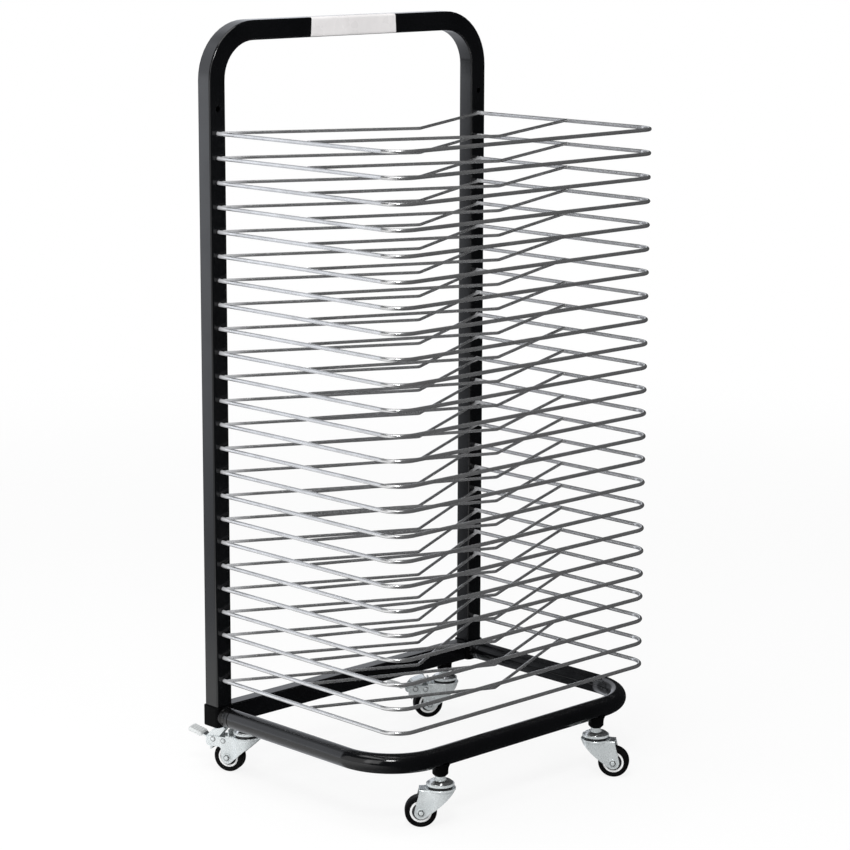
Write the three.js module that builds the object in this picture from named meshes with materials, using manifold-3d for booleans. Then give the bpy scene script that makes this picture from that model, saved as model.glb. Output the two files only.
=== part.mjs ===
// Art drying rack on casters: a bent tube frame that holds hooked wire shelves.
// Millimetres, +Z up. The shelves reach forward along -Y, and Y = 0 is the front of the uprights.

import * as THREE from 'three';
import { mergeVertices } from 'three/addons/utils/BufferGeometryUtils.js';
import Module from 'manifold-3d';

const wasm = await Module();
wasm.setup();

// Clearance between pieces that touch or slide into each other, and how far a cutter runs past a face
const FIT = 0.3;
const OVERCUT = 1;

// Back frame: one square tube bent to an inverted U
const RACK_HEIGHT = 975;
const UPRIGHT_SPACING = 456;
const TUBE_SIZE = 25;
const TUBE_WALL = 1.5;
const TUBE_CORNER_RADIUS = 3;
const HANDLE_BEND_RADIUS = 60;

// Wire shelves, which hook into holes in the front walls of the uprights
const SHELF_COUNT = 24;
const SPARE_HOLE_ROWS = 1;
const SHELF_PITCH = 30.5;
const LOWEST_SHELF_HEIGHT = 136;
const SHELF_DEPTH = 321;
const SHELF_CORNER_RADIUS = 28;
const WIRE_RADIUS = 2.5;
const WIRE_HOLE_CLEARANCE = 0.9;
const HOOK_HEIGHT = 12;
const HOOK_BEND_RADIUS = 4.2;
const HOOK_GAP = 0.4;
const CHEVRON_WIRE_RADIUS = 2;
const CHEVRON_RISE = 1;
const CHEVRON_BEND_RADIUS = 6;
const REAR_CHEVRON_START = 6;
const REAR_CHEVRON_REACH = 115.5;
const MIDDLE_CHEVRON_START = 164;
const MIDDLE_CHEVRON_REACH = 98;
const WELD_BITE = 1;

// Base: a round tube loop, a rear cross bar and the corner blocks that join them to the uprights
const BASE_HEIGHT = 89;
const BASE_TUBE_RADIUS = 12.5;
const BASE_WALL = 1.5;
const BASE_REACH = 308;
const BASE_BEND_RADIUS = 75;
const CROSS_BAR_DEPTH = 20;
const CROSS_BAR_HEIGHT = 26;
const CROSS_BAR_WALL = 1.5;
const BLOCK_SKIN = 2;
const BLOCK_FLOOR = 3;
const BLOCK_HEIGHT = 27;
const COLLAR_LENGTH = 13;
const PLUG_LENGTH = 22;

// Casters, which hang under the base, with their own heights counted from the floor
const FRONT_CASTER_SPACING = 284;
const REAR_CASTER_SPACING = 362;
const WHEEL_RADIUS = 20;
const TYRE_WIDTH = 15;
const TYRE_BEVEL = 1.8;
const RIM_RECESS = 1;
const RIM_RADIUS = 13.8;
const RIM_THICKNESS = 3;
const HUB_BOSS_RADIUS = 6;
const HUB_WEB = 6;
const AXLE_RADIUS = 3;
const AXLE_HEAD_RADIUS = 5.5;
const AXLE_HEAD_THICKNESS = 3.2;
const TRAIL = 24;
const FORK_INNER_WIDTH = 18;
const FORK_SHEET = 1.5;
const FORK_PLATE = 2.5;
const FORK_PLATE_HEIGHT = 47;
const FORK_PLATE_RADIUS = 18;
const FORK_TAPER_ANGLE = 63;
const FORK_SKIRT = 5.5;
const FORK_REAR = 26;
const FORK_TIP_RADIUS = 8.4;
const LOWER_RACE_INNER = 9;
const LOWER_RACE_OUTER = 14.8;
const LOWER_RACE_HEIGHT = 3.2;
const RACEWAY_RADIUS = 17.5;
const RACEWAY_RIM = 3;
const RACEWAY_DOME = 1.5;
const RACEWAY_CROWN = 0.4;
const RACEWAY_EDGE = 1;
const KING_PIN_RADIUS = 3.5;
const KING_PIN_HEAD_RADIUS = 7;
const KING_PIN_HEAD_THICKNESS = 3;
const NECK_RADIUS = 6.5;
const NECK_HEIGHT = 7;
const STEM_RADIUS = 4;
const STEM_ABOVE_WALL = 15;
const SADDLE_HEIGHT = 11.7;
const SADDLE_RADIUS = 10;
const SADDLE_FLARE = 2.5;
const SADDLE_FLARE_HEIGHT = 4.5;
const SADDLE_WRAP = 4;

// Brake on the rear casters, as distances behind the swivel axis and above the floor
const BRAKE_LUG_REAR = 54;
const BRAKE_LUG_DEPTH = 16;
const BRAKE_LUG_CORNER = 5;
const BRAKE_PIN_TRAIL = 44;
const BRAKE_PIN_HEIGHT = 43;
const BRAKE_PIN_RADIUS = 2.5;
const PEDAL_THICKNESS = 4.5;
const PEDAL_EDGE_RADIUS = 1;
const PEDAL_HEEL_RADIUS = 3.25;
const PEDAL_BOSS_RADIUS = 5;
const SHOE_DROP = 15;
const SHOE_SETBACK = 5;
const PEDAL_KNEE = 13;
const PEDAL_KNEE_RISE = 2;
const PEDAL_REACH = 36;
const PEDAL_RISE = 10;
const PEDAL_BEND_RADIUS = 8;

// Way each wheel trails behind its swivel axis in the rack's resting pose, in degrees from +X
const CASTERS = [
  { name: 'front_left', side: -1, heading: 138 },
  { name: 'front_right', side: 1, heading: -54 },
  { name: 'rear_left', side: -1, heading: 115, braked: true },
  { name: 'rear_right', side: 1, heading: 150, braked: true },
];

// Facets
const WIRE_SIDES = 6;
const CHEVRON_SIDES = 5;
const HOLE_SIDES = 6;
const TUBE_SIDES = 12;
const TYRE_SIDES = 16;
const HUB_SIDES = 12;
const TURNED_SIDES = 8;
const HEX_SIDES = 6;
const FORK_FRONT_SIDES = 6;
const TUBE_BEND_STEPS = 5;
const WIRE_BEND_STEPS = 3;
const TIGHT_BEND_STEPS = 2;
const CHEVRON_BEND_STEPS = 1;

// Places worked out from the sizes above
const halfSpacing = UPRIGHT_SPACING / 2;
const tubeCentreY = TUBE_SIZE / 2;
const wireHoleRadius = WIRE_RADIUS + WIRE_HOLE_CLEARANCE;
const blockSize = TUBE_SIZE + 2 * (FIT + BLOCK_SKIN);
const blockBottom = BASE_HEIGHT - BLOCK_HEIGHT / 2;
const blockFrontY = tubeCentreY - blockSize / 2;
const crossBarBottom = BASE_HEIGHT - CROSS_BAR_HEIGHT / 2;
const baseTubeBottom = BASE_HEIGHT - BASE_TUBE_RADIUS;
const forkOuterWidth = FORK_INNER_WIDTH + 2 * FORK_SHEET;
const forkTop = FORK_PLATE_HEIGHT + FORK_PLATE;
const racewayBottom = forkTop + LOWER_RACE_HEIGHT + FIT;
const neckBottom = racewayBottom + RACEWAY_RIM + RACEWAY_DOME;
const neckTop = neckBottom + NECK_HEIGHT;
const saddleBottom = neckTop + FIT;
const floorHeight = baseTubeBottom - SADDLE_HEIGHT - saddleBottom;
const axleHoleRadius = AXLE_RADIUS + FIT;

const point = (x, y, z) => new THREE.Vector3(x, y, z);

// Straight runs joined by round bends, with one ring at each end of a run and rings along each bend.
class BentPath extends THREE.Curve {
  constructor(corners, bendRadii, bendSteps) {
    super();
    const last = corners.length - 1;
    this.stations = [corners[0]];
    this.directions = [corners[1].clone().sub(corners[0]).normalize()];
    for (let i = 1; i < last; i += 1) {
      this.addBend(corners[i - 1], corners[i], corners[i + 1], bendRadii[i - 1], bendSteps[i - 1]);
    }
    this.stations.push(corners[last]);
    this.directions.push(corners[last].clone().sub(corners[last - 1]).normalize());
  }

  addBend(before, corner, after, radius, steps) {
    const incoming = corner.clone().sub(before).normalize();
    const outgoing = after.clone().sub(corner).normalize();
    const turn = incoming.angleTo(outgoing);
    const inward = outgoing.clone().addScaledVector(incoming, -Math.cos(turn)).normalize();
    const start = corner.clone().addScaledVector(incoming, -radius * Math.tan(turn / 2));
    for (let step = 0; step <= steps; step += 1) {
      const angle = (turn * step) / steps;
      const along = radius * Math.sin(angle);
      const across = radius * (1 - Math.cos(angle));
      const direction = incoming.clone().multiplyScalar(Math.cos(angle));
      this.stations.push(start.clone().addScaledVector(incoming, along).addScaledVector(inward, across));
      this.directions.push(direction.addScaledVector(inward, Math.sin(angle)));
    }
  }

  getSpacedPoints() {
    return this.stations;
  }

  getTangentAt(u, target = new THREE.Vector3()) {
    return target.copy(this.directions[Math.round(u * (this.directions.length - 1))]);
  }
}

function solidOf(geometry) {
  const bare = geometry.clone();
  bare.deleteAttribute('normal');
  bare.deleteAttribute('uv');
  const merged = mergeVertices(bare, 1e-4);
  const triangles = [];
  for (let i = 0; i < merged.index.count; i += 3) {
    const [a, b, c] = [0, 1, 2].map((k) => merged.index.getX(i + k));
    if (a !== b && b !== c && c !== a) triangles.push(a, b, c);
  }
  return new wasm.Manifold(new wasm.Mesh({
    numProp: 3,
    vertProperties: new Float32Array(merged.attributes.position.array),
    triVerts: new Uint32Array(triangles),
  }));
}

function geometryOf(solid) {
  const mesh = solid.getMesh();
  const geometry = new THREE.BufferGeometry();
  geometry.setAttribute('position', new THREE.BufferAttribute(new Float32Array(mesh.vertProperties), 3));
  geometry.setIndex(new THREE.BufferAttribute(new Uint32Array(mesh.triVerts), 1));
  const flat = geometry.toNonIndexed();
  flat.computeVertexNormals();
  return flat;
}

// A regular outline with its flats on the top and bottom; it stays inside the circle of that radius.
function roundSection(radius, sides) {
  const corners = [];
  for (let i = 0; i < sides; i += 1) {
    const angle = (2 * Math.PI * (i + 0.5)) / sides;
    corners.push(new THREE.Vector2(radius * Math.cos(angle), radius * Math.sin(angle)));
  }
  return new THREE.Shape(corners);
}

function rectangleSection(width, height, cornerRadius) {
  const x = width / 2 - cornerRadius;
  const y = height / 2 - cornerRadius;
  const shape = new THREE.Shape();
  shape.absarc(x, y, cornerRadius, 0, Math.PI / 2);
  shape.absarc(-x, y, cornerRadius, Math.PI / 2, Math.PI);
  shape.absarc(-x, -y, cornerRadius, Math.PI, 1.5 * Math.PI);
  shape.absarc(x, -y, cornerRadius, 1.5 * Math.PI, 2 * Math.PI);
  return shape;
}

function sweep(section, path) {
  const steps = path.stations.length - 1;
  return solidOf(new THREE.ExtrudeGeometry(section, { extrudePath: path, steps, curveSegments: 1 }));
}

// Extrusion upward from bottom to top
function upright(section, bottom, top, curveSegments = 1) {
  const geometry = new THREE.ExtrudeGeometry(section, {
    depth: top - bottom, bevelEnabled: false, curveSegments,
  });
  return solidOf(geometry.translate(0, 0, bottom));
}

// Extrusion of an outline drawn in X and Z, centred on Y = 0
function sideways(outline, width, curveSegments) {
  const geometry = new THREE.ExtrudeGeometry(outline, { depth: width, bevelEnabled: false, curveSegments });
  return solidOf(geometry.translate(0, 0, -width / 2).rotateX(Math.PI / 2));
}

function box(width, depth, height, x, y, z) {
  return solidOf(new THREE.BoxGeometry(width, depth, height).translate(x, y, z));
}

// Turned shapes: pairs of radius and height, counterclockwise, about Z or about Y
function turned(profile, sides) {
  const points = profile.map(([radius, height]) => new THREE.Vector2(radius, height));
  return solidOf(new THREE.LatheGeometry(points, sides).rotateX(Math.PI / 2));
}

function turnedAcross(profile, sides) {
  const points = profile.map(([radius, width]) => new THREE.Vector2(radius, width));
  return solidOf(new THREE.LatheGeometry(points, sides));
}

// A drill keeps its flats at the stated radius, so that a round piece of that radius fits inside.
const drillRadius = (radius, sides) => radius / Math.cos(Math.PI / sides);

function drillAcross(radius, width, sides) {
  const outer = drillRadius(radius, sides);
  return turnedAcross([[0, -width / 2], [outer, -width / 2], [outer, width / 2], [0, width / 2]], sides);
}

function drillUp(radius, bottom, top, sides) {
  const outer = drillRadius(radius, sides);
  return turned([[0, bottom], [outer, bottom], [outer, top], [0, top]], sides);
}

function backFrame() {
  const top = RACK_HEIGHT - TUBE_SIZE / 2;
  const foot = blockBottom + BLOCK_FLOOR + FIT;
  const path = (end) => new BentPath([
    point(-halfSpacing, tubeCentreY, end),
    point(-halfSpacing, tubeCentreY, top),
    point(halfSpacing, tubeCentreY, top),
    point(halfSpacing, tubeCentreY, end),
  ], [HANDLE_BEND_RADIUS, HANDLE_BEND_RADIUS], [TUBE_BEND_STEPS, TUBE_BEND_STEPS]);
  const bore = TUBE_SIZE - 2 * TUBE_WALL;
  const boreCorner = TUBE_CORNER_RADIUS - TUBE_WALL;
  let frame = sweep(rectangleSection(TUBE_SIZE, TUBE_SIZE, TUBE_CORNER_RADIUS), path(foot));
  frame = frame.subtract(sweep(rectangleSection(bore, bore, boreCorner), path(foot - OVERCUT)));
  const hole = drillAcross(wireHoleRadius, 2 * (TUBE_WALL + OVERCUT), HOLE_SIDES);
  for (let row = 0; row < SHELF_COUNT + SPARE_HOLE_ROWS; row += 1) {
    const height = LOWEST_SHELF_HEIGHT + row * SHELF_PITCH;
    frame = frame.subtract(hole.translate([-halfSpacing, 0, height]));
    frame = frame.subtract(hole.translate([halfSpacing, 0, height]));
  }
  return frame;
}

// Bent wire welded between the insides of a shelf's side wires
function chevronWire(start, reach) {
  const end = halfSpacing - WIRE_RADIUS + WELD_BITE;
  const path = new BentPath([
    point(-end, -start, CHEVRON_RISE),
    point(0, -start - reach, CHEVRON_RISE),
    point(end, -start, CHEVRON_RISE),
  ], [CHEVRON_BEND_RADIUS], [CHEVRON_BEND_STEPS]);
  return sweep(roundSection(CHEVRON_WIRE_RADIUS, CHEVRON_SIDES), path);
}

// One shelf, with its side wires at Z = 0 in the holes and its hooks turned up inside the uprights
function wireShelf() {
  const hookY = TUBE_WALL + HOOK_GAP + WIRE_RADIUS;
  const path = new BentPath([
    point(-halfSpacing, hookY, HOOK_HEIGHT),
    point(-halfSpacing, hookY, 0),
    point(-halfSpacing, -SHELF_DEPTH, 0),
    point(halfSpacing, -SHELF_DEPTH, 0),
    point(halfSpacing, hookY, 0),
    point(halfSpacing, hookY, HOOK_HEIGHT),
  ], [HOOK_BEND_RADIUS, SHELF_CORNER_RADIUS, SHELF_CORNER_RADIUS, HOOK_BEND_RADIUS],
  [TIGHT_BEND_STEPS, WIRE_BEND_STEPS, WIRE_BEND_STEPS, TIGHT_BEND_STEPS]);
  return sweep(roundSection(WIRE_RADIUS, WIRE_SIDES), path)
    .add(chevronWire(REAR_CHEVRON_START, REAR_CHEVRON_REACH))
    .add(chevronWire(MIDDLE_CHEVRON_START, MIDDLE_CHEVRON_REACH));
}

function crossBar() {
  const length = UPRIGHT_SPACING - blockSize - 2 * FIT;
  const outer = box(length, CROSS_BAR_DEPTH, CROSS_BAR_HEIGHT, 0, tubeCentreY, BASE_HEIGHT);
  const bore = box(
    length + 2 * OVERCUT, CROSS_BAR_DEPTH - 2 * CROSS_BAR_WALL, CROSS_BAR_HEIGHT - 2 * CROSS_BAR_WALL,
    0, tubeCentreY, BASE_HEIGHT,
  );
  const bar = outer.subtract(bore);
  return drillStemHoles(bar, crossBarBottom, CROSS_BAR_WALL, REAR_CASTER_SPACING, tubeCentreY);
}

function drillStemHoles(tube, bottom, wall, spacing, y) {
  const radius = STEM_RADIUS + FIT;
  const drill = drillUp(radius, bottom - OVERCUT, bottom + wall + radius, HOLE_SIDES);
  return tube.subtract(drill.translate([-spacing / 2, y, 0])).subtract(drill.translate([spacing / 2, y, 0]));
}

function baseLoop() {
  const rearY = blockFrontY - COLLAR_LENGTH - FIT;
  const path = (overrun) => new BentPath([
    point(-halfSpacing, rearY + overrun, BASE_HEIGHT),
    point(-halfSpacing, -BASE_REACH, BASE_HEIGHT),
    point(halfSpacing, -BASE_REACH, BASE_HEIGHT),
    point(halfSpacing, rearY + overrun, BASE_HEIGHT),
  ], [BASE_BEND_RADIUS, BASE_BEND_RADIUS], [TUBE_BEND_STEPS, TUBE_BEND_STEPS]);
  const tube = sweep(roundSection(BASE_TUBE_RADIUS, TUBE_SIDES), path(0))
    .subtract(sweep(roundSection(BASE_TUBE_RADIUS - BASE_WALL, TUBE_SIDES), path(OVERCUT)));
  return drillStemHoles(tube, baseTubeBottom, BASE_WALL, FRONT_CASTER_SPACING, -BASE_REACH);
}

// Three-way connector about the foot of an upright at X = 0; inward is +1 or -1 along X.
function cornerBlock(inward) {
  const bottom = blockBottom;
  const top = bottom + BLOCK_HEIGHT;
  const socket = TUBE_SIZE + 2 * FIT;
  const socketCorner = TUBE_CORNER_RADIUS + FIT;
  const body = upright(rectangleSection(blockSize, blockSize, socketCorner + BLOCK_SKIN), bottom, top)
    .subtract(upright(rectangleSection(socket, socket, socketCorner), bottom + BLOCK_FLOOR, top + OVERCUT));
  const skinCentre = blockSize / 2 - BLOCK_SKIN / 2;
  const plugRadius = (BASE_TUBE_RADIUS - BASE_WALL) * Math.cos(Math.PI / TUBE_SIDES) - FIT;
  const collarEnd = skinCentre + BLOCK_SKIN / 2 + COLLAR_LENGTH;
  const collar = turnedAcross([
    [0, -collarEnd - PLUG_LENGTH],
    [plugRadius, -collarEnd - PLUG_LENGTH],
    [plugRadius, -collarEnd],
    [BASE_TUBE_RADIUS, -collarEnd],
    [BASE_TUBE_RADIUS, -skinCentre],
    [0, -skinCentre],
  ], TUBE_SIDES);
  const plugLength = PLUG_LENGTH + BLOCK_SKIN / 2;
  const plug = box(
    plugLength,
    CROSS_BAR_DEPTH - 2 * (CROSS_BAR_WALL + FIT),
    CROSS_BAR_HEIGHT - 2 * (CROSS_BAR_WALL + FIT),
    inward * (skinCentre + plugLength / 2), 0, BASE_HEIGHT,
  );
  return body.translate([0, tubeCentreY, 0])
    .add(collar.translate([0, tubeCentreY, BASE_HEIGHT]))
    .add(plug.translate([0, tubeCentreY, 0]));
}

// Moulded spacer between the caster's neck and the tube above it
function saddle(seatHeight, wrap, flareRadius) {
  const bore = drillRadius(STEM_RADIUS + FIT, TURNED_SIDES);
  const top = seatHeight + wrap;
  const flareStart = seatHeight - SADDLE_FLARE_HEIGHT;
  return turned([
    [bore, saddleBottom],
    [SADDLE_RADIUS - SADDLE_FLARE, saddleBottom],
    [SADDLE_RADIUS, saddleBottom + SADDLE_FLARE],
    [SADDLE_RADIUS, flareStart],
    [flareRadius, seatHeight],
    [flareRadius, top],
    [bore, top],
    [bore, saddleBottom],
  ], TURNED_SIDES);
}

function frontSaddle() {
  const seat = drillRadius(BASE_TUBE_RADIUS + FIT, TUBE_SIDES);
  const flare = SADDLE_RADIUS + SADDLE_FLARE;
  const reach = flare + OVERCUT;
  const tube = turnedAcross([[0, -reach], [seat, -reach], [seat, reach], [0, reach]], TUBE_SIDES)
    .rotate([0, 0, 90]).translate([0, 0, BASE_HEIGHT - floorHeight]);
  return saddle(baseTubeBottom - floorHeight, SADDLE_WRAP, flare).subtract(tube);
}

function rearSaddle() {
  return saddle(crossBarBottom - floorHeight - FIT, 0, CROSS_BAR_DEPTH / 2);
}

// Stem, raceway and king pin turned as one piece; the king pin's head holds the fork up to the raceway.
function stem(seatHeight) {
  const headTop = FORK_PLATE_HEIGHT - FIT;
  const rimTop = racewayBottom + RACEWAY_RIM;
  return turned([
    [0, headTop - KING_PIN_HEAD_THICKNESS],
    [KING_PIN_HEAD_RADIUS, headTop - KING_PIN_HEAD_THICKNESS],
    [KING_PIN_HEAD_RADIUS, headTop],
    [KING_PIN_RADIUS, headTop],
    [KING_PIN_RADIUS, racewayBottom],
    [RACEWAY_RADIUS - RACEWAY_EDGE, racewayBottom],
    [RACEWAY_RADIUS, racewayBottom + RACEWAY_EDGE],
    [RACEWAY_RADIUS, rimTop],
    [(RACEWAY_RADIUS + NECK_RADIUS) / 2, neckBottom - RACEWAY_CROWN],
    [NECK_RADIUS, neckBottom],
    [NECK_RADIUS, neckTop],
    [STEM_RADIUS, neckTop],
    [STEM_RADIUS, seatHeight + STEM_ABOVE_WALL],
    [0, seatHeight + STEM_ABOVE_WALL],
  ], TURNED_SIDES);
}

// Side view of the fork's cheeks: X behind the swivel axis, Y above the floor
function cheekOutline(braked) {
  const skirtBottom = FORK_PLATE_HEIGHT - FORK_SKIRT;
  const toFront = Math.hypot(TRAIL + FORK_PLATE_RADIUS, skirtBottom - WHEEL_RADIUS);
  const frontSlope = Math.atan2(skirtBottom - WHEEL_RADIUS, TRAIL + FORK_PLATE_RADIUS);
  const tangent = -frontSlope - Math.asin(FORK_TIP_RADIUS / toFront) - Math.PI / 2;
  const outline = new THREE.Shape();
  outline.moveTo(-FORK_PLATE_RADIUS, skirtBottom);
  outline.lineTo(-FORK_PLATE_RADIUS, forkTop);
  if (braked) {
    const lugX = BRAKE_LUG_REAR - BRAKE_LUG_CORNER;
    const lugBottom = forkTop - BRAKE_LUG_DEPTH;
    outline.absarc(lugX, forkTop - BRAKE_LUG_CORNER, BRAKE_LUG_CORNER, Math.PI / 2, 0, true);
    outline.absarc(lugX, lugBottom + BRAKE_LUG_CORNER, BRAKE_LUG_CORNER, 0, -Math.PI / 2, true);
    outline.lineTo(TRAIL + FORK_TIP_RADIUS, lugBottom);
  } else {
    outline.lineTo(FORK_REAR, forkTop);
  }
  outline.absarc(TRAIL, WHEEL_RADIUS, FORK_TIP_RADIUS, 0, tangent, true);
  return outline;
}

// Plan of the pressed fork: round in front of the swivel axis, with flanks that taper in to the cheeks
function forkPlan(radius, halfWidth, rear) {
  const leave = THREE.MathUtils.degToRad(FORK_TAPER_ANGLE);
  const flank = (radius * Math.sin(leave) - halfWidth) / Math.cos(leave);
  const taperEnd = radius * Math.cos(leave) + flank * Math.sin(leave);
  const plan = new THREE.Shape();
  plan.moveTo(rear, -halfWidth);
  plan.lineTo(rear, halfWidth);
  plan.lineTo(taperEnd, halfWidth);
  plan.absarc(0, 0, radius, leave, 2 * Math.PI - leave, false);
  plan.lineTo(taperEnd, -halfWidth);
  return plan;
}

function fork(braked) {
  const top = forkTop + LOWER_RACE_HEIGHT;
  const rear = Math.max(BRAKE_LUG_REAR, TRAIL + FORK_TIP_RADIUS) + OVERCUT;
  const outer = forkPlan(FORK_PLATE_RADIUS, forkOuterWidth / 2, rear);
  const inner = forkPlan(FORK_PLATE_RADIUS - FORK_SHEET, FORK_INNER_WIDTH / 2, rear + OVERCUT);
  const shell = upright(outer, 0, forkTop, FORK_FRONT_SIDES)
    .subtract(upright(inner, -OVERCUT, FORK_PLATE_HEIGHT, FORK_FRONT_SIDES));
  const race = turned([
    [LOWER_RACE_INNER, FORK_PLATE_HEIGHT],
    [LOWER_RACE_OUTER, FORK_PLATE_HEIGHT],
    [LOWER_RACE_OUTER, top],
    [LOWER_RACE_INNER, top],
    [LOWER_RACE_INNER, FORK_PLATE_HEIGHT],
  ], HUB_SIDES);
  const kingPinHole = drillUp(KING_PIN_RADIUS + FIT, FORK_PLATE_HEIGHT - OVERCUT, top, HOLE_SIDES);
  const axleHole = drillAcross(axleHoleRadius, forkOuterWidth + 2 * OVERCUT, HOLE_SIDES);
  let solid = shell.intersect(sideways(cheekOutline(braked), 2 * (FORK_PLATE_RADIUS + OVERCUT), 2))
    .add(race)
    .subtract(kingPinHole)
    .subtract(axleHole.translate([TRAIL, 0, WHEEL_RADIUS]));
  if (braked) {
    const length = rear - FORK_REAR;
    const well = box(length, FORK_INNER_WIDTH, 2 * forkTop, FORK_REAR + length / 2, 0, forkTop);
    const pin = drillAcross(BRAKE_PIN_RADIUS, forkOuterWidth, HOLE_SIDES);
    solid = solid.subtract(well).add(pin.translate([BRAKE_PIN_TRAIL, 0, BRAKE_PIN_HEIGHT]));
  }
  return solid;
}

function axleBolt() {
  const inner = forkOuterWidth / 2 + FIT;
  const outer = inner + AXLE_HEAD_THICKNESS;
  return turnedAcross([
    [0, -outer],
    [AXLE_HEAD_RADIUS, -outer],
    [AXLE_HEAD_RADIUS, -inner],
    [AXLE_RADIUS, -inner],
    [AXLE_RADIUS, inner],
    [AXLE_HEAD_RADIUS, inner],
    [AXLE_HEAD_RADIUS, outer],
    [0, outer],
  ], HEX_SIDES).translate([TRAIL, 0, WHEEL_RADIUS]);
}

function wheelHub() {
  const bore = drillRadius(axleHoleRadius, HUB_SIDES);
  const boss = FORK_INNER_WIDTH / 2 - FIT;
  const rim = TYRE_WIDTH / 2 - RIM_RECESS;
  const rimInner = RIM_RADIUS - RIM_THICKNESS;
  return turnedAcross([
    [bore, -boss],
    [HUB_BOSS_RADIUS, -boss],
    [rimInner, -HUB_WEB / 2],
    [rimInner, -rim],
    [RIM_RADIUS, -rim],
    [RIM_RADIUS, rim],
    [rimInner, rim],
    [rimInner, HUB_WEB / 2],
    [HUB_BOSS_RADIUS, boss],
    [bore, boss],
    [bore, -boss],
  ], HUB_SIDES).translate([TRAIL, 0, WHEEL_RADIUS]);
}

function tyre() {
  const inner = drillRadius(RIM_RADIUS + FIT, TYRE_SIDES);
  const side = TYRE_WIDTH / 2;
  return turnedAcross([
    [inner, -side + RIM_RECESS],
    [WHEEL_RADIUS - TYRE_BEVEL, -side],
    [WHEEL_RADIUS, -side + TYRE_BEVEL],
    [WHEEL_RADIUS, side - TYRE_BEVEL],
    [WHEEL_RADIUS - TYRE_BEVEL, side],
    [inner, side - RIM_RECESS],
    [inner, -side + RIM_RECESS],
  ], TYRE_SIDES).translate([TRAIL, 0, WHEEL_RADIUS]);
}

// Lever on the brake pin: the shoe hangs behind the tyre and the tread plate rises at the rear.
function brakePedal() {
  const width = FORK_INNER_WIDTH - 2 * FIT;
  const path = new BentPath([
    point(BRAKE_PIN_TRAIL + SHOE_SETBACK, 0, BRAKE_PIN_HEIGHT - SHOE_DROP),
    point(BRAKE_PIN_TRAIL, 0, BRAKE_PIN_HEIGHT),
    point(BRAKE_PIN_TRAIL + PEDAL_KNEE, 0, BRAKE_PIN_HEIGHT + PEDAL_KNEE_RISE),
    point(BRAKE_PIN_TRAIL + PEDAL_REACH, 0, BRAKE_PIN_HEIGHT + PEDAL_RISE),
  ], [PEDAL_HEEL_RADIUS, PEDAL_BEND_RADIUS], [TIGHT_BEND_STEPS, TIGHT_BEND_STEPS]);
  const lever = sweep(rectangleSection(width, PEDAL_THICKNESS, PEDAL_EDGE_RADIUS), path);
  const pivot = (solid) => solid.translate([BRAKE_PIN_TRAIL, 0, BRAKE_PIN_HEIGHT]);
  const boss = drillAcross(PEDAL_BOSS_RADIUS, width, TURNED_SIDES);
  const bore = drillAcross(drillRadius(BRAKE_PIN_RADIUS, HOLE_SIDES) + FIT, 2 * width, HOLE_SIDES);
  return lever.add(pivot(boss)).subtract(pivot(bore));
}

const finishes = {
  blackCoat: { color: 0x17181a, roughness: 0.35, metalness: 0.2 },
  blackMoulding: { color: 0x101112, roughness: 0.5, metalness: 0 },
  silverWire: { color: 0xa9aeb3, roughness: 0.35, metalness: 0.8 },
  zinc: { color: 0xc9ced2, roughness: 0.25, metalness: 0.9 },
  rubber: { color: 0x0c0c0d, roughness: 0.7, metalness: 0 },
  paleHub: { color: 0xe4e6e6, roughness: 0.5, metalness: 0 },
};

function piece(name, solid, finish) {
  const mesh = new THREE.Mesh(geometryOf(solid), new THREE.MeshStandardMaterial(finishes[finish]));
  mesh.name = name;
  return mesh;
}

function caster({ name, side, heading, braked }) {
  const group = new THREE.Group();
  const spacing = braked ? REAR_CASTER_SPACING : FRONT_CASTER_SPACING;
  const seat = (braked ? crossBarBottom : baseTubeBottom) - floorHeight;
  group.position.set((side * spacing) / 2, braked ? tubeCentreY : -BASE_REACH, floorHeight);
  group.add(piece(`caster_${name}_saddle`, braked ? rearSaddle() : frontSaddle(), 'blackMoulding'));
  group.add(piece(`caster_${name}_stem`, stem(seat), 'zinc'));
  const swivel = new THREE.Group();
  swivel.rotation.z = THREE.MathUtils.degToRad(heading);
  swivel.add(piece(`caster_${name}_fork`, fork(braked), 'zinc'));
  swivel.add(piece(`caster_${name}_axle`, axleBolt(), 'zinc'));
  swivel.add(piece(`caster_${name}_hub`, wheelHub(), 'paleHub'));
  swivel.add(piece(`caster_${name}_tyre`, tyre(), 'rubber'));
  if (braked) swivel.add(piece(`brake_pedal_${name}`, brakePedal(), 'paleHub'));
  group.add(swivel);
  return group;
}

const rack = new THREE.Group();
rack.add(piece('back_frame', backFrame(), 'blackCoat'));
rack.add(piece('rear_cross_bar', crossBar(), 'blackCoat'));
rack.add(piece('base_loop', baseLoop(), 'blackCoat'));

for (const [name, side] of [['left', -1], ['right', 1]]) {
  const block = piece(`corner_block_${name}`, cornerBlock(-side), 'blackMoulding');
  block.position.x = side * halfSpacing;
  rack.add(block);
}

for (let i = 0; i < SHELF_COUNT; i += 1) {
  const shelf = piece(`shelf_${String(i + 1).padStart(2, '0')}`, wireShelf(), 'silverWire');
  shelf.position.z = LOWEST_SHELF_HEIGHT + i * SHELF_PITCH;
  rack.add(shelf);
}

CASTERS.forEach((place) => rack.add(caster(place)));

// The origin lies under the middle of the rack's box, on the floor.
const extent = new THREE.Box3().setFromObject(rack);
const middle = extent.getCenter(new THREE.Vector3());
rack.position.set(-middle.x, -middle.y, -extent.min.z);

const group = new THREE.Group();
group.add(rack);
export default group;
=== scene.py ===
"""Looks of an art drying rack on casters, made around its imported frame.

Lengths are millimetres. The rack's own places have Y = 0 at the front of the uprights and Z = 0 on the floor;
a caster's places have Z = 0 on the floor, its swivel axis at X = Y = 0 and its wheel behind it along +X.
"""
import math

import bmesh
import bpy
import numpy as np
from mathutils import Matrix, Vector


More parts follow.
